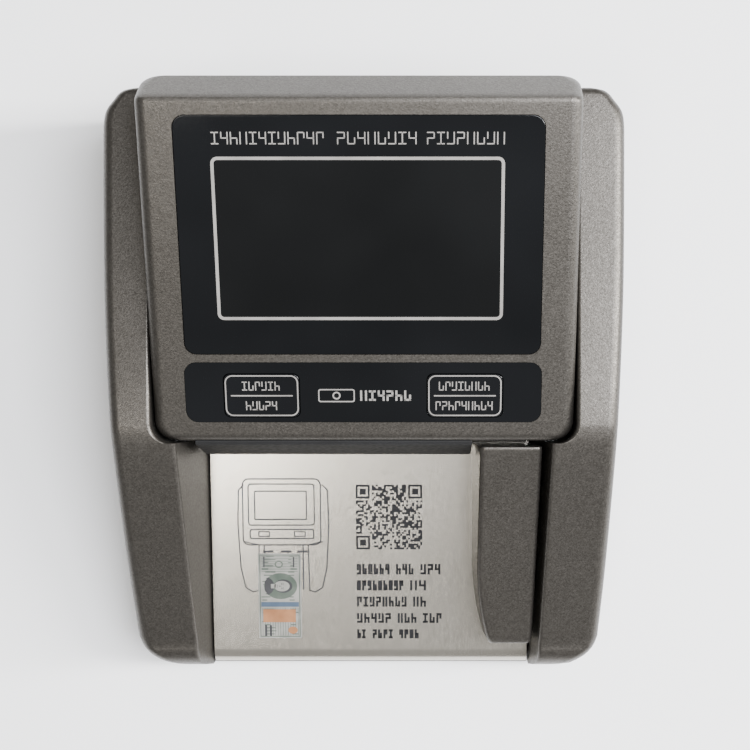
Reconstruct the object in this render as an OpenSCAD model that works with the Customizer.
// Counterfeit bill detector: note tray between two side wings, hinged head with
// display and keys, driven feed rollers below and free pinch rollers above.
// Units are millimetres, +Z up, +Y to the rear, the feet stand on Z = 0.

/* [Housing] */
// Wall thickness of the plastic shells
wall = 2; // [1.8:0.1:2.2]
// Height of the flat rear part of the side wings
wing_top_z = 47; // [46:0.5:48]
// Gap between the head and the side wings
head_gap = 0.5; // [0.4:0.1:0.6]
// Thickness of the steel note tray
tray_t = 1; // [0.8:0.1:1.2]

/* [Feed] */
// Radius of the rubber feed rollers
roller_r = 7; // [6.8:0.1:7]
// How far the feed rollers stand above the note bed
roller_proud = 0.3; // [0.2:0.05:0.4]
// Gap between a feed roller and its pinch roller
pinch_gap = 0.15; // [0.1:0.05:0.3]
// Radial clearance of the turning shafts
run_fit = 0.05; // [0.03:0.01:0.08]

/* [Controls] */
// Gap round each key cap
key_gap = 0.25; // [0.2:0.05:0.3]
// Height of the key caps above the panel
key_proud = 0.1; // [0:0.05:0.3]

/* [Note guide] */
// Inner edge of the removable width guide
guide_x = 27.4; // [27.2:0.1:28.5]
// Gap below the guide
guide_lift = 0.05; // [0.05:0.05:0.2]

/* [Hidden] */

half_l = 75;
wing_x = 66;
nose_x = 52;
nose_r = 8.5;
foot_h = 2;
floor_t = 2;
rim_z = 8;
eps = 1;

bed_angle = 8;
bed_front_y = -72;
bed_front_z = 9.5;
channel_x = 43;
channel_lean = 0.13;
channel_deep = 60;
tray_x = 42.5;
tray_rear_y = -10;
lip_r = 5;
lip_y = -69;
lip_base_y = -72.1;

well_y = -13;
corner_r = 5;
head_x = 52.6 - head_gap;
head_front_y = -12.4;
head_foot_y = -11;
crease_y = 68;
crease_z = 70;
bevel_z = 60;
head_rear_z = 34;
head_slope = 18.24;
head_skirt = 7;
hinge_y = 68.5;
hinge_z = 38;
hinge_r = 2;
lug_r = 3.6;
ear_r = 4;
ear_x = 47;

frame_x = 43.3;
frame_t = 3;
frame_out = frame_x + frame_t;
frame_y0 = -9;
ledge_out = 52.3;
ledge_top = 6.5;
ledge_t = 1.5;
guide_t = 1.2;

shaft_r = 2;
bush_r = 3.5;
feed_front_y = 2;
feed_rear_y = 46;
roller_x = 15;
roller_w = 10;
shaft_drop = roller_r - roller_proud;
pinch_r = 5;
pinch_shaft_r = 1.5;
pinch_up = roller_proud + pinch_gap + pinch_r;
path_h = 1.4;
upper_t = 1.6;
upper_top = path_h + upper_t;
flange_z = 7.2;
flange_t = 2.5;
flange_out = 49.6;
upper_x = 42.8;
sensor_y = 16.5;
magnet_y = 30;

gear_module = 0.7;
gear_teeth = 30;
pinion_teeth = 14;
pressure = 20;
backlash = 0.1;
gear_x = 47.5;
gear_w = 3.4;
motor_turn = 24;
motor_r = 10;
motor_flat = 15;
motor_x = 21.4;
motor_shaft_r = 1;
motor_boss_r = 2.5;
centre_gap = gear_module * (gear_teeth + pinion_teeth) / 2;
pulley_x = 52.5;
pulley_w = 3;
pulley_r = 5.8;
belt_t = 0.8;
belt_w = 1.6;

pane_w = 86.6;
pane_d = 58;
pane_y = 36.55;
pane_t = 1;
panel_w = 87.4;
panel_d = 15.4;
panel_y = -0.35;
key_x = 24.95;
key_y = -1.1;
key_w = 18.4;
key_d = 11;
key_depth = 5.55;
switch_depth = 6.1;
board_depth = 9;
board_t = 1.6;
bar_left = 42.3;
bar_right = 26.9;
boss_x = 46.3;
boss_front_y = 14;
boss_rear_y = 56;
latch_y = 10;
latch_x = 47.5;

guide_front_y = -67;
guide_rear_y = -14;
guide_right_x = 41.8;
guide_right_lean = 0.11;
guide_left_lean = 0.06;
guide_front_x = 30.9;
guide_curve_y = -43;
guide_rear_top = 42;
guide_front_top = 21;
guide_wall = 1.6;
peg_r = 1.5;
peg_x = 34;
peg_ys = [-24, -57];

rear_wall_x = 52.5;
rear_wall_z = 28.4;
port_z = 17;
jack_x = -24;
usb_x = -6;
switch_x = 22;
pivot_y = 71.8;
main_board_z = 10;
battery_x = 27;
battery_y0 = -49;
battery_y1 = -15;
door_z = 1;
door_t = 0.9;
door_x = 30;

plastic = [0.45, 0.43, 0.4];
dark = [0.12, 0.12, 0.13];
steel = [0.72, 0.72, 0.7];
rubber = [0.1, 0.1, 0.1];
board = [0.1, 0.35, 0.2];
brass = [0.75, 0.6, 0.3];
nylon = [0.85, 0.84, 0.8];
clear = [0.6, 0.65, 0.7];

function bed_z(y) = bed_front_z + (y - bed_front_y) * tan(bed_angle);
function top_z(y) = crease_z + (y - crease_y) * tan(head_slope);
function shaft_y(y) = y + shaft_drop * sin(bed_angle);
function shaft_z(y) = bed_z(y) - shaft_drop * cos(bed_angle);
motor_y = shaft_y(feed_rear_y) - centre_gap * cos(motor_turn);
motor_z = shaft_z(feed_rear_y) - centre_gap * sin(motor_turn);

function arc(cx, cy, r, a0, a1, n = 6) =
  [for (i = [0:n]) [cx + r * cos(a0 + (a1 - a0) * i / n), cy + r * sin(a0 + (a1 - a0) * i / n)]];
function mirrored(pts) = [for (i = [len(pts) - 1:-1:0]) [-pts[i][0], pts[i][1]]];
function both(pts) = concat(pts, mirrored(pts));

// Right half of the plan outline, moved inwards by d.
function right_plan(d) = concat(
  arc(nose_x, -half_l + nose_r, nose_r - d, -90, 0),
  [[62.25 - d, -45], [64.6 - d, -10], [wing_x - d, 12], [wing_x - d, half_l - 5 - 0.41 * d],
   [wing_x - 5 - 0.41 * d, half_l - d]]);

// Side view of a wing, moved inwards by d and open down to z0.
function wing_profile(d, z0) = concat(
  [[half_l - d, z0], [half_l - d, wing_top_z - d], [2, wing_top_z - d], [-13, 45.6 - d]],
  arc(-67, 15.1, 8 - d, 90, 180),
  [[-half_l + d, z0]]);

// Plan of the well the head drops into.
function well_plan(d) = concat(
  arc(52.6 - corner_r, well_y + corner_r, corner_r + d, -90, 0), [[52.6 + d, 90], [0, 90]],
  [[0, well_y - d]]);

function head_plan(d) = both(concat(
  arc(head_x - corner_r, head_front_y + corner_r, corner_r - d, -90, 0),
  arc(head_x - 3, half_l - 3, 3 - min(d, 2.5), 0, 90)));

function involute(a) = tan(a) * 180 / PI - a;
function tooth_half(r, rad, teeth) = 90 / teeth - backlash / 2 / r * 180 / PI
  + involute(pressure) - involute(acos(min(1, r * cos(pressure) / rad)));
// Gear outline with short addendum, one tooth centred on the angle turn.
function gear_points(teeth, turn) = let(r = gear_module * teeth / 2, base = r * cos(pressure),
    low = r - 1.05 * gear_module, tip = r + 0.8 * gear_module, start = max(low, base))
  [for (k = [0:teeth - 1]) for (s = [-1, 1]) for (i = [0:4])
    let(j = s < 0 ? i : 4 - i, rad = j == 0 ? low : start + (tip - start) * (j - 1) / 3,
      a = turn + k * 360 / teeth + s * tooth_half(r, max(rad, start), teeth))
    [rad * cos(a), rad * sin(a)]];

function stadium(r, l, n = 24) = concat(arc(0, 0, r, 90, 270, n), arc(l, 0, r, -90, 90, n));

module across(x0, x1) {
  translate([x0, 0, 0])
    rotate([90, 0, 90])
      linear_extrude(x1 - x0)
        children();
}

module on_bed(y, up = 0) {
  translate([0, y, bed_z(y)])
    rotate([bed_angle, 0, 0])
      translate([0, 0, up])
        children();
}

module on_top(y, depth = 0) {
  translate([0, y, top_z(y)])
    rotate([head_slope, 0, 0])
      translate([0, 0, -depth])
        children();
}

module both_sides() {
  children();
  mirror([1, 0, 0])
    children();
}

module box(x0, x1, y0, y1, z0, z1) {
  translate([x0, y0, z0])
    cube([x1 - x0, y1 - y0, z1 - z0]);
}

module disc(r, x0, x1, y, z) {
  translate([x0, y, z])
    rotate([0, 90, 0])
      cylinder(r = r, h = x1 - x0, $fn = 64);
}

module post(r, x, y, z0, z1) {
  translate([x, y, z0])
    cylinder(r = r, h = z1 - z0, $fn = 48);
}

module round_rect(w, d, r) {
  polygon(concat(arc(w / 2 - r, d / 2 - r, r, 0, 90), arc(r - w / 2, d / 2 - r, r, 90, 180),
    arc(r - w / 2, r - d / 2, r, 180, 270), arc(w / 2 - r, r - d / 2, r, 270, 360)));
}

module channel_cut(d) {
  on_bed(0)
    rotate([90, 0, 0])
      linear_extrude(200, center = true)
        polygon([[-channel_x - d, -channel_deep], [channel_x + d, -channel_deep],
          [channel_x + d, 0], [channel_x + d + channel_lean * channel_deep, channel_deep],
          [-channel_x - d - channel_lean * channel_deep, channel_deep], [-channel_x - d, 0]]);
}

module wing_solid(d, z0) {
  difference() {
    intersection() {
      linear_extrude(80)
        polygon(concat([[30, -half_l + d]], right_plan(d), [[30, half_l - d]]));
      across(30, 70)
        polygon(wing_profile(d, z0));
    }
    channel_cut(d);
    linear_extrude(90)
      polygon(well_plan(d));
  }
}

module side_cover() {
  color(plastic)
    difference() {
      union() {
        difference() {
          wing_solid(0, rim_z);
          wing_solid(wall, rim_z - eps);
        }
        intersection() {
          wing_solid(wall / 2, rim_z - 2);
          union() {
            post(3, 56.5, -50, 6, 60);
            post(3, 59, 66, 6, 60);
          }
        }
      }
      // Below the bed the cover is open towards the chassis.
      on_bed(-15)
        box(-60, 50, -70, 0, -40, -2);
      on_bed(well_y)
        box(-60, 55, 0, 84, -40, ledge_top - ledge_t);
      post(1.2, 56.5, -50, 5, 18);
      post(1.2, 59, 66, 5, 18);
    }
}

module right_side_cover() {
  side_cover();
}

module left_side_cover() {
  mirror([1, 0, 0])
    side_cover();
}

module base_bottom_shell() {
  color(plastic)
    difference() {
      union() {
        translate([0, 0, foot_h])
          linear_extrude(1)
            polygon(both(right_plan(0.8)));
        translate([0, 0, foot_h + 1])
          linear_extrude(1)
            polygon(both(right_plan(0)));
        difference() {
          translate([0, 0, foot_h + floor_t])
            linear_extrude(rim_z - foot_h - floor_t)
              polygon(both(right_plan(0)));
          translate([0, 0, foot_h + floor_t - eps])
            linear_extrude(rim_z)
              polygon(both(right_plan(wall)));
        }
        box(-rear_wall_x, rear_wall_x, half_l - wall, half_l, rim_z - eps, rear_wall_z);
        // Front wall behind the tray lip and the ribs under the tray.
        box(-channel_x, channel_x, lip_base_y, lip_base_y + wall, 3, 6);
        both_sides()
          across(36, 38)
            polygon([[-65, 3], [tray_rear_y - 1, 3], [tray_rear_y - 1, bed_z(tray_rear_y - 1) - tray_t - 0.02],
              [-65, bed_z(-65) - tray_t - 0.02]]);
        // Battery bay and main board posts.
        difference() {
          box(-battery_x - 2, battery_x + 2, battery_y0 - 2, battery_y1 + 2, 3, 9);
          box(-battery_x - 0.5, battery_x + 0.5, battery_y0 - 0.5, battery_y1 + 0.5, 0, 10);
        }
        both_sides()
          post(2.5, 37, 60, 3, main_board_z);
        both_sides() {
          post(3.5, 56.5, -50, 3, 6);
          post(3.5, 59, 66, 3, 6);
        }
        // Rails that hold the sliding battery door.
        both_sides() {
          box(door_x + 0.3, door_x + 1.5, -54, -12, 0.5, foot_h + 0.5);
          box(door_x - 1, door_x + 1.5, -54, -12, 0.5, door_z - 0.1);
        }
      }
      box(-channel_x + 0.1, channel_x - 0.1, -half_l - 1, lip_base_y, 0, 20);
      box(-battery_x - 0.5, battery_x + 0.5, battery_y0 - 0.5, battery_y1 + 0.5, foot_h - 1, 5);
      translate([jack_x, half_l - wall - 1, port_z])
        rotate([-90, 0, 0])
          cylinder(r = 4.2, h = 5, $fn = 48);
      box(usb_x - 4, usb_x + 4, half_l - 4, half_l + 1, 11.4, 14.7);
      box(switch_x - 6.6, switch_x + 6.6, half_l - 4, half_l + 1, port_z - 4.4, port_z + 4.4);
      box(switch_x - 7.7, switch_x + 7.7, half_l - 1, half_l + 1, port_z - 5.4, port_z + 5.4);
      both_sides() {
        for (y = [-60, 60])
          post(2, 52, y, 0, 5);
        for (p = [[56.5, -50], [59, 66]]) {
          post(1.4, p[0], p[1], 0, 7);
          post(2.8, p[0], p[1], 0, 3.6);
        }
        for (y = [-4, 64])
          post(1.2, 49.8, y, 2.5, 7);
      }
    }
}

module rubber_feet() {
  color(rubber)
    both_sides()
      for (y = [-60, 60]) {
        post(5, 52, y, 0, foot_h);
        post(2, 52, y, foot_h - 0.5, foot_h + floor_t - 0.1);
      }
}

module base_screws() {
  color(steel)
    both_sides()
      for (p = [[56.5, -50], [59, 66]]) {
        post(2.4, p[0], p[1], 2.4, 3.6);
        post(1.2, p[0], p[1], 3.4, 12);
      }
}

module frame_plate(motor_hole) {
  color(steel)
    difference() {
      union() {
        across(frame_x, frame_out)
          polygon([[frame_y0, 4], [hinge_y + lug_r, 4], [hinge_y + lug_r, hinge_z],
            [hinge_y - lug_r, hinge_z], [hinge_y - lug_r, bed_z(hinge_y - lug_r) + ledge_top],
            [frame_y0, bed_z(frame_y0) + ledge_top]]);
        disc(lug_r, frame_x, frame_out, hinge_y, hinge_z);
        on_bed(0)
          translate([0, 0, ledge_top - ledge_t])
            linear_extrude(ledge_t)
              polygon([[frame_x, -11.4], [49.3, -11.4], [ledge_out, -8.3], [ledge_out, 61],
                [frame_x, 61]]);
        for (y = [-4, 64])
          box(frame_out - eps, frame_out + 6.5, y - 4, y + 4, 4, 5.5);
      }
      for (y = [feed_front_y, feed_rear_y])
        disc(bush_r, frame_x - 1, frame_out + 1, shaft_y(y), shaft_z(y));
      disc(hinge_r, frame_x - 1, frame_out + 1, hinge_y, hinge_z);
      if (motor_hole)
        disc(motor_boss_r + 0.2, frame_x - 1, frame_out + 1, motor_y, motor_z);
      for (y = [-4, 64])
        post(1.3, 49.8, y, 3, 7);
      on_bed(latch_y)
        box(latch_x - 2, latch_x + 2, -2.6, 2.6, 3, 9);
    }
}

module right_frame() {
  frame_plate(true);
}

module left_frame() {
  mirror([1, 0, 0])
    frame_plate(false);
}

module frame_screws() {
  color(steel)
    both_sides()
      for (y = [-4, 64]) {
        post(2.2, 49.8, y, 5.5, 6.8);
        post(1.2, 49.8, y, 2.6, 6);
      }
}

module note_tray() {
  run = (tray_rear_y - bed_front_y) / cos(bed_angle);
  lip = (lip_y - bed_front_y) / cos(bed_angle);
  color(steel)
    difference() {
      on_bed(bed_front_y)
        across(-tray_x, tray_x)
          polygon(concat([[run, -tray_t], [run, 0]], arc(lip, -lip_r, lip_r, 90, 188, 10),
            arc(lip, -lip_r, lip_r - tray_t, 188, 90, 10)));
      for (y = peg_ys)
        on_bed(y)
          post(peg_r + 0.25, peg_x, 0, -5, 5);
    }
}

module lower_guide() {
  color(dark)
    difference() {
      on_bed(0) {
        box(-frame_x, frame_x, -9.8, 75, -guide_t, 0);
        both_sides()
          for (run = [[-8, 20], [45, 70]])
            box(frame_x - 1.5, frame_x, run[0], run[1], -4, -guide_t + 0.5);
      }
      for (y = [feed_front_y, feed_rear_y])
        for (s = [-1, 1])
          on_bed(y)
            box(s * roller_x - 6, s * roller_x + 6, -4.9, 4.9, -3, 2);
      on_bed(sensor_y)
        box(-35.1, 35.1, -3.1, 3.1, -3, 2);
    }
}

module lower_sensor_window() {
  color(clear)
    on_bed(sensor_y)
      box(-35, 35, -3, 3, -guide_t, -0.02);
}

module lower_sensor_board() {
  color(board)
    on_bed(sensor_y) {
      box(-36, 36, -4.5, 4.5, -5.6, -4);
      for (x = [-30, -18, -6, 6, 18, 30])
        box(x - 2, x + 2, -1.6, 1.6, -4.2, -guide_t);
    }
}

module shaft_bushings() {
  color(nylon)
    both_sides()
      for (y = [feed_front_y, feed_rear_y])
        difference() {
          union() {
            disc(bush_r, frame_x, frame_out + 0.2, shaft_y(y), shaft_z(y));
            disc(bush_r + 1.1, frame_out, frame_out + 0.8, shaft_y(y), shaft_z(y));
          }
          disc(shaft_r + run_fit, frame_x - 1, frame_out + 2, shaft_y(y), shaft_z(y));
        }
}

module drive_shaft(y, end) {
  color(steel)
    disc(shaft_r, -frame_out - 1.4, end, shaft_y(y), shaft_z(y));
}

module feed_rollers(y) {
  color(rubber)
    for (s = [-1, 1])
      difference() {
        disc(roller_r, s * roller_x - roller_w / 2, s * roller_x + roller_w / 2, shaft_y(y), shaft_z(y));
        disc(shaft_r, s * roller_x - roller_w, s * roller_x + roller_w, shaft_y(y), shaft_z(y));
      }
}

module pulley(y) {
  color(nylon)
    difference() {
      union() {
        disc(pulley_r, pulley_x, pulley_x + pulley_w, shaft_y(y), shaft_z(y));
        disc(pulley_r + 1, pulley_x, pulley_x + 0.5, shaft_y(y), shaft_z(y));
        disc(pulley_r + 1, pulley_x + pulley_w - 0.5, pulley_x + pulley_w, shaft_y(y), shaft_z(y));
      }
      disc(shaft_r, pulley_x - 1, pulley_x + pulley_w + 1, shaft_y(y), shaft_z(y));
    }
}

module rear_drive_shaft() {
  drive_shaft(feed_rear_y, pulley_x + pulley_w);
}

module front_drive_shaft() {
  drive_shaft(feed_front_y, pulley_x + pulley_w);
}

module rear_feed_rollers() {
  feed_rollers(feed_rear_y);
}

module front_feed_rollers() {
  feed_rollers(feed_front_y);
}

module rear_pulley() {
  pulley(feed_rear_y);
}

module front_pulley() {
  pulley(feed_front_y);
}

module feed_belt() {
  span = (feed_rear_y - feed_front_y) / cos(bed_angle);
  mid = pulley_x + pulley_w / 2;
  color(rubber)
    translate([0, shaft_y(feed_front_y), shaft_z(feed_front_y)])
      rotate([bed_angle, 0, 0])
        across(mid - belt_w / 2, mid + belt_w / 2)
          difference() {
            polygon(stadium(pulley_r + 0.08 + belt_t, span));
            polygon(stadium(pulley_r + 0.08, span));
          }
}

module drive_gear() {
  color(nylon)
    difference() {
      union() {
        translate([0, shaft_y(feed_rear_y), shaft_z(feed_rear_y)])
          across(gear_x, gear_x + gear_w)
            polygon(gear_points(gear_teeth, 180 + motor_turn));
        disc(4, gear_x, gear_x + gear_w + 1, shaft_y(feed_rear_y), shaft_z(feed_rear_y));
      }
      disc(shaft_r, gear_x - 1, gear_x + gear_w + 2, shaft_y(feed_rear_y), shaft_z(feed_rear_y));
    }
}

module motor_pinion() {
  color(brass)
    difference() {
      translate([0, motor_y, motor_z])
        across(gear_x - 0.2, gear_x + gear_w + 0.2)
          polygon(gear_points(pinion_teeth, motor_turn + 180 / pinion_teeth));
      disc(motor_shaft_r, gear_x - 1, gear_x + gear_w + 2, motor_y, motor_z);
    }
}

module motor_shaft() {
  color(steel)
    disc(motor_shaft_r, motor_x + 6, gear_x + gear_w + 0.2, motor_y, motor_z);
}

module drive_motor() {
  color(steel)
    difference() {
      union() {
        translate([0, motor_y, motor_z])
          across(motor_x, frame_x)
            intersection() {
              circle(r = motor_r, $fn = 96);
              square([3 * motor_r, motor_flat], center = true);
            }
        disc(motor_boss_r, frame_x - eps, frame_out - 0.5, motor_y, motor_z);
        disc(3, motor_x - 1.2, motor_x + eps, motor_y, motor_z);
      }
      disc(motor_shaft_r + run_fit, motor_x + 5.5, frame_out + 1, motor_y, motor_z);
    }
}

module main_board() {
  color(board)
    difference() {
      union() {
        box(-41, 41, 56, 72.6, main_board_z, main_board_z + board_t);
        box(2, 14, 59, 69, main_board_z + 1, main_board_z + 3.2);
        for (x = [-38, -34])
          post(1.6, x, 69.5, main_board_z + 1, main_board_z + 9);
        box(-16, -12, 57, 62, main_board_z + 1, main_board_z + 7);
      }
      both_sides()
        post(1.2, 37, 60, 5, 15);
    }
}

module buzzer() {
  color(dark)
    difference() {
      post(5, 34.5, 67, main_board_z + board_t, main_board_z + 8);
      post(1, 34.5, 67, main_board_z + 6, main_board_z + 9);
    }
}

module power_jack() {
  body_h = port_z - main_board_z - board_t;
  color(dark) {
    difference() {
      union() {
        box(jack_x - 4.5, jack_x + 4.5, 60, half_l - wall - 0.1, port_z - body_h, port_z + body_h);
        translate([jack_x, half_l - wall - 1, port_z])
          rotate([-90, 0, 0])
            cylinder(r = 4, h = wall + 0.8, $fn = 64);
      }
      translate([jack_x, 65, port_z])
        rotate([-90, 0, 0])
          cylinder(r = 2.85, h = 12, $fn = 64);
    }
    translate([jack_x, 64, port_z])
      rotate([-90, 0, 0])
        cylinder(r = 1.05, h = 10.3, $fn = 64);
  }
}

module usb_port() {
  z0 = main_board_z + board_t;
  color(steel)
    difference() {
      box(usb_x - 3.8, usb_x + 3.8, 69, half_l - 0.3, z0, z0 + 2.9);
      box(usb_x - 3.4, usb_x + 3.4, 70, half_l + 1, z0 + 0.4, z0 + 2.5);
    }
  color(dark)
    box(usb_x - 2.6, usb_x + 2.6, 69.5, half_l - 1, z0 + 1.5, z0 + 2);
}

module power_switch_housing() {
  color(dark)
    difference() {
      union() {
        box(switch_x - 6.5, switch_x + 6.5, 63, half_l - 0.5, port_z - 4.3, port_z + 4.3);
        box(switch_x - 7.5, switch_x + 7.5, half_l - 0.9, half_l - 0.1, port_z - 5.2, port_z + 5.2);
      }
      box(switch_x - 5.2, switch_x + 5.2, 70, half_l + 1, port_z - 3.3, port_z + 3.3);
      post(0.86, switch_x, pivot_y, port_z - 3.8, port_z + 3.8);
    }
}

module power_rocker() {
  color(dark) {
    translate([switch_x, pivot_y, port_z - 3])
      linear_extrude(6)
        polygon([[-4.5, 0.4], [-2, -0.9], [2, -0.9], [4.5, 0.4], [4.5, 2.3], [0, 1.7], [-4.5, 2.3]]);
    post(0.8, switch_x, pivot_y, port_z - 3.7, port_z + 3.7);
  }
}

module battery_pack() {
  color([0.2, 0.25, 0.5])
    box(-battery_x, battery_x, battery_y0, battery_y1, foot_h + 0.1, 8.6);
}

module battery_door() {
  color(plastic)
    union() {
      box(-door_x, door_x, -53, -13, door_z, door_z + door_t);
      for (i = [0:3])
        box(-8, 8, -51 + 2 * i, -50 + 2 * i, door_z - 0.3, door_z + 0.2);
    }
}

module hinge_pins() {
  color(steel)
    both_sides()
      disc(hinge_r, frame_x, ear_x + 3, hinge_y, hinge_z);
}

module latch_catches() {
  color(steel)
    both_sides()
      on_bed(latch_y) {
        for (s = [-1, 1])
          box(latch_x - 1.2, latch_x + 1.5, s * 1.4 - 0.2, s * 1.4 + 0.2, 0.5, 4.9);
        box(frame_out, latch_x + 1.5, -1.6, 1.6, 0, 0.6);
      }
}

module latch_tongues() {
  color(steel)
    both_sides()
      on_bed(latch_y)
        box(latch_x - 1.2, latch_x + 1.5, -0.8, 0.8, 2.5, flange_z);
}

module head_solid(d, z0) {
  intersection() {
    linear_extrude(100)
      polygon(head_plan(d));
    across(-60, 60)
      polygon(concat([[head_front_y + d, top_z(head_front_y + d) - d / cos(head_slope)]],
        z0 > 0 ? [[head_foot_y + d, bed_z(head_foot_y) + head_skirt], [half_l - wall,
          bed_z(half_l - wall) + head_skirt], [half_l - wall, head_rear_z], [half_l, head_rear_z]]
        : [[head_foot_y + d, 0], [half_l - d, 0]],
        [[half_l - d, bevel_z - 0.32 * d], [crease_y - 0.39 * d, crease_z - 1.18 * d]]));
  }
}

module head_top_shell() {
  color(plastic)
    difference() {
      union() {
        difference() {
          head_solid(0, 1);
          head_solid(wall, 0);
        }
        intersection() {
          head_solid(wall / 2, 0);
          union() {
            both_sides() {
              for (y = [boss_front_y, boss_rear_y])
                on_bed(y)
                  post(3, boss_x, 0, flange_z + flange_t, 60);
              for (y = [-6, 5])
                on_top(1)
                  post(2, 39, y, -board_depth, 0);
              for (y = [-24, 24])
                on_top(pane_y)
                  post(2, 38, y, -3.6, 0);
            }
          }
        }
        both_sides()
          across(ear_x, head_x - wall / 2) {
            translate([hinge_y, hinge_z])
              circle(r = ear_r, $fn = 64);
            translate([hinge_y - ear_r, hinge_z])
              square([half_l - 1 - hinge_y + ear_r, 14]);
          }
      }
      // Pockets and openings for the display pane and the key panel.
      on_top(pane_y, pane_t)
        linear_extrude(9)
          round_rect(pane_w + 0.2, pane_d + 0.2, 3);
      on_top(pane_y, 8)
        linear_extrude(9)
          round_rect(74, 46, 2);
      on_top(panel_y, pane_t)
        linear_extrude(9)
          round_rect(panel_w + 0.2, panel_d + 0.2, 3);
      for (s = [-1, 1])
        on_top(key_y, 4)
          translate([s * key_x, 0, 0])
            linear_extrude(9)
              round_rect(key_w + 1, key_d + 1, 2);
      both_sides() {
        disc(hinge_r + run_fit, ear_x - 1, ear_x + 3.05, hinge_y, hinge_z);
        for (y = [boss_front_y, boss_rear_y])
          on_bed(y)
            post(1.2, boss_x, 0, flange_z, 17);
        // Notch in the rear wall for the fixed hinge lug.
        box(frame_x - 0.6, ear_x - 0.3, half_l - wall - 3, half_l + 1, head_rear_z - 1, 41);
      }
    }
}

module display_window() {
  color(dark)
    on_top(pane_y, pane_t)
      linear_extrude(pane_t)
        round_rect(pane_w, pane_d, 2.9);
}

module key_panel() {
  color(dark)
    difference() {
      on_top(panel_y, pane_t)
        linear_extrude(pane_t)
          round_rect(panel_w, panel_d, 2.9);
      for (s = [-1, 1])
        on_top(key_y, 4)
          translate([s * key_x, 0, 0])
            linear_extrude(9)
              round_rect(key_w + 2 * key_gap, key_d + 2 * key_gap, 1.7);
    }
}

module key_cap(s) {
  color(dark)
    on_top(key_y)
      translate([s * key_x, 0, 0]) {
        translate([0, 0, -2.8])
          linear_extrude(2.8 + key_proud)
            round_rect(key_w, key_d, 1.5);
        box(-key_w / 2 - 1, key_w / 2 + 1, -key_d / 2 - 0.8, key_d / 2 + 0.8, -3.2, -2.4);
        box(-2, 2, -2, 2, -key_depth, -3);
      }
}

module report_key() {
  key_cap(-1);
}

module currency_key() {
  key_cap(1);
}

module lcd_module() {
  color(clear)
    on_top(pane_y)
      box(-36, 36, -22, 22, -3.6, -pane_t);
  color(board)
    on_top(pane_y)
      box(-41.5, 41.5, -27, 27, -5.2, -3.6);
}

module head_board() {
  color(board)
    on_top(1) {
      box(-42.5, 42.5, -9, 8, -board_depth - board_t, -board_depth);
      box(-10, 4, -5, 5, -board_depth - board_t - 2, -board_depth - 1);
      box(10, 20, -8, -4, -board_depth - board_t - 4, -board_depth - 1);
    }
}

module tact_switches() {
  color(steel)
    for (s = [-1, 1])
      on_top(key_y)
        translate([s * key_x, 0, 0]) {
          box(-3, 3, -3, 3, -board_depth, -switch_depth - 0.5);
          post(1.5, 0, 0, -switch_depth - 0.8, -switch_depth);
        }
}

module inlet_bar() {
  color(dark)
    across(-bar_left, bar_right)
      polygon([[head_front_y, top_z(head_front_y) - 0.6], [-13.4, 42.2], [-16.8, 25], [-16.6, 23.4],
        [-12.4, 22.3], [-10.6, 22.6], [-10.2, 24.9], [head_foot_y, bed_z(head_foot_y) + head_skirt]]);
}

module head_lower_guide() {
  color(dark)
    difference() {
      on_bed(0) {
        box(-upper_x, upper_x, -9, 71, path_h, upper_top);
        both_sides() {
          box(upper_x - 1.6, upper_x, -8, 62, path_h, flange_z + flange_t);
          box(upper_x - 1.6, flange_out, -7.2, 62, flange_z, flange_z + flange_t);
          // Brackets that carry the pinch shafts.
          for (y = [feed_front_y, feed_rear_y])
            box(22, 24, (y / cos(bed_angle)) - 2.6, (y / cos(bed_angle)) + 2.6, path_h, pinch_up + 2.6);
        }
        // Posts for the two leaf springs.
        box(-4, 4, feed_front_y - 8, feed_front_y - 5, path_h, pinch_up + pinch_shaft_r + 0.1);
        box(-4, 4, feed_rear_y + 7, feed_rear_y + 11, path_h, pinch_up + pinch_shaft_r + 0.1);
        across(-upper_x, upper_x)
          polygon([[-9, path_h], [-9, upper_top], [-11.6, 3.2], [-11.4, 2.3]]);
      }
      for (y = [feed_front_y, feed_rear_y]) {
        for (s = [-1, 1])
          on_bed(y)
            box(s * roller_x - 6, s * roller_x + 6, -5.1, 5.1, 0, 4);
        on_bed(y, pinch_up)
          disc(pinch_shaft_r + run_fit, -30, 30, 0, 0);
      }
      on_bed(sensor_y)
        box(-35.1, 35.1, -3.1, 3.1, 0, 4);
      on_bed(magnet_y)
        box(-30.1, 30.1, -4.1, 4.1, 0, 4);
      both_sides()
        for (y = [boss_front_y, boss_rear_y])
          on_bed(y) {
            post(1.4, boss_x, 0, 5, 12);
            post(2.6, boss_x, 0, 5, flange_z + 1.4);
          }
    }
}

module upper_sensor_window() {
  color(clear)
    on_bed(sensor_y)
      box(-35, 35, -3, 3, path_h + 0.05, upper_top);
}

module uv_lamp_board() {
  color(board)
    on_bed(sensor_y) {
      box(-36, 36, -4.5, 4.5, 8, 9.6);
      for (x = [-32:8:32])
        box(x - 1.8, x + 1.8, -1.5, 1.5, upper_top, 8.2);
    }
}

module magnetic_sensor() {
  color(steel)
    on_bed(magnet_y)
      box(-30, 30, -4, 4, path_h + 0.1, 7);
}

module pinch_springs() {
  top = pinch_up + pinch_shaft_r + 0.1;
  color(steel)
    on_bed(0) {
      box(-3.5, 3.5, feed_front_y - 8, feed_front_y + 2, top, top + 0.4);
      box(-3.5, 3.5, feed_rear_y - 1.5, feed_rear_y + 11, top, top + 0.4);
    }
}

module head_screws() {
  color(steel)
    both_sides()
      for (y = [boss_front_y, boss_rear_y])
        on_bed(y) {
          post(2.4, boss_x, 0, flange_z + 0.2, flange_z + 1.4);
          post(1.2, boss_x, 0, flange_z + 1, flange_z + 8);
        }
}

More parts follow.
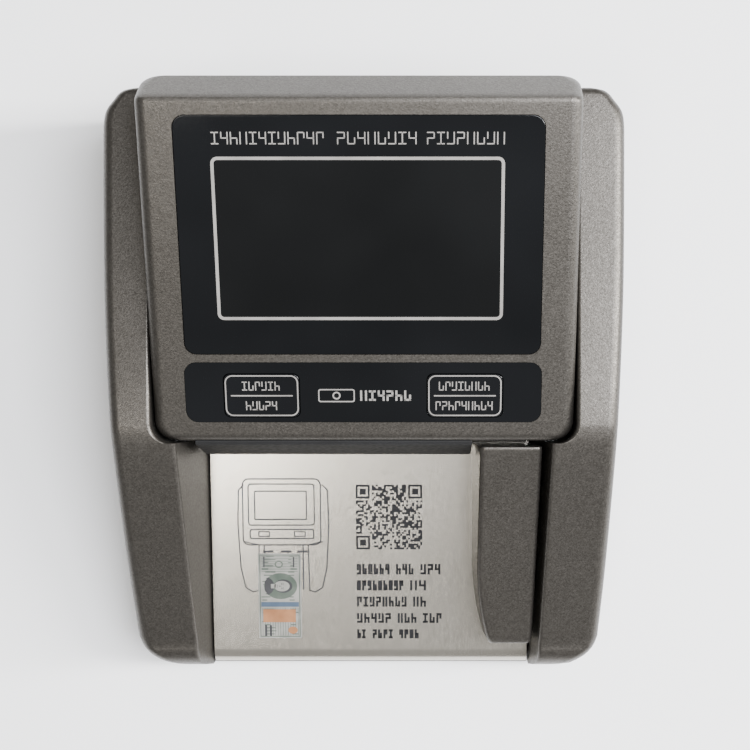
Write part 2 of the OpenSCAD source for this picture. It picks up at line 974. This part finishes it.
module pinch_shaft(y) {
  color(steel)
    on_bed(y, pinch_up)
      disc(pinch_shaft_r, -25, 25, 0, 0);
}

module pinch_rollers(y) {
  color(rubber)
    on_bed(y, pinch_up)
      for (s = [-1, 1])
        difference() {
          disc(pinch_r, s * roller_x - roller_w / 2, s * roller_x + roller_w / 2, 0, 0);
          disc(pinch_shaft_r, s * roller_x - roller_w, s * roller_x + roller_w, 0, 0);
        }
}

module front_pinch_shaft() {
  pinch_shaft(feed_front_y);
}

module rear_pinch_shaft() {
  pinch_shaft(feed_rear_y);
}

module front_pinch_rollers() {
  pinch_rollers(feed_front_y);
}

module rear_pinch_rollers() {
  pinch_rollers(feed_rear_y);
}

// The guide block moved inwards by d, standing on the tray and open below when low < 0.
module guide_block(d, low) {
  rear = (guide_rear_y - bed_front_y) / cos(bed_angle);
  bend = (guide_front_x - guide_x) / 4;
  intersection() {
    linear_extrude(100)
      polygon([[guide_x + d, guide_rear_y - d], [guide_x + d, guide_curve_y],
        [guide_x + 0.3 * bend + d, guide_curve_y - 7], [guide_x + bend + d, guide_curve_y - 14],
        [guide_x + 2 * bend + d, guide_curve_y - 19], [guide_front_x + d, guide_front_y + d],
        [50, guide_front_y + d], [50, guide_rear_y - d]]);
    across(20, 50)
      polygon([[guide_rear_y, guide_rear_top - d], [guide_rear_y + 5, 5], [guide_front_y - 5, 5],
        [guide_front_y - 5, guide_front_top - 7 - d], [guide_front_y, guide_front_top - 2 - d],
        [guide_front_y + 4, guide_front_top + 1.6 - d]]);
    on_bed(bed_front_y)
      translate([0, rear + 10, 0])
        rotate([90, 0, 0])
          linear_extrude(rear + 20)
            polygon([[guide_x + d, low], [guide_right_x - d, low],
              [guide_right_x - d + guide_right_lean * 40, 40], [guide_x + d + guide_left_lean * 40, 40]]);
  }
}

module note_guide() {
  color(plastic) {
    difference() {
      guide_block(0, guide_lift);
      guide_block(guide_wall, -2);
    }
    on_bed(0)
      box(guide_x - 1.1, guide_right_x - 1, -56, -22, guide_lift, 0.85);
    for (y = peg_ys)
      on_bed(y) {
        post(peg_r + 1.1, peg_x, 0, guide_lift, 8);
        post(peg_r, peg_x, 0, -3, 2);
      }
  }
}

base_bottom_shell();
rubber_feet();
base_screws();
left_side_cover();
right_side_cover();
left_frame();
right_frame();
frame_screws();
note_tray();
lower_guide();
shaft_bushings();
drive_motor();
main_board();
buzzer();
power_jack();
usb_port();
power_switch_housing();
battery_pack();
hinge_pins();
feed_belt();
lower_sensor_board();
lower_sensor_window();
latch_catches();
rear_drive_shaft();
rear_feed_rollers();
drive_gear();
rear_pulley();
front_drive_shaft();
front_feed_rollers();
front_pulley();
motor_shaft();
motor_pinion();
head_top_shell();
head_lower_guide();
inlet_bar();
display_window();
lcd_module();
key_panel();
head_board();
tact_switches();
magnetic_sensor();
uv_lamp_board();
upper_sensor_window();
pinch_springs();
head_screws();
latch_tongues();
report_key();
currency_key();
front_pinch_shaft();
front_pinch_rollers();
rear_pinch_shaft();
rear_pinch_rollers();
note_guide();
power_rocker();
battery_door();
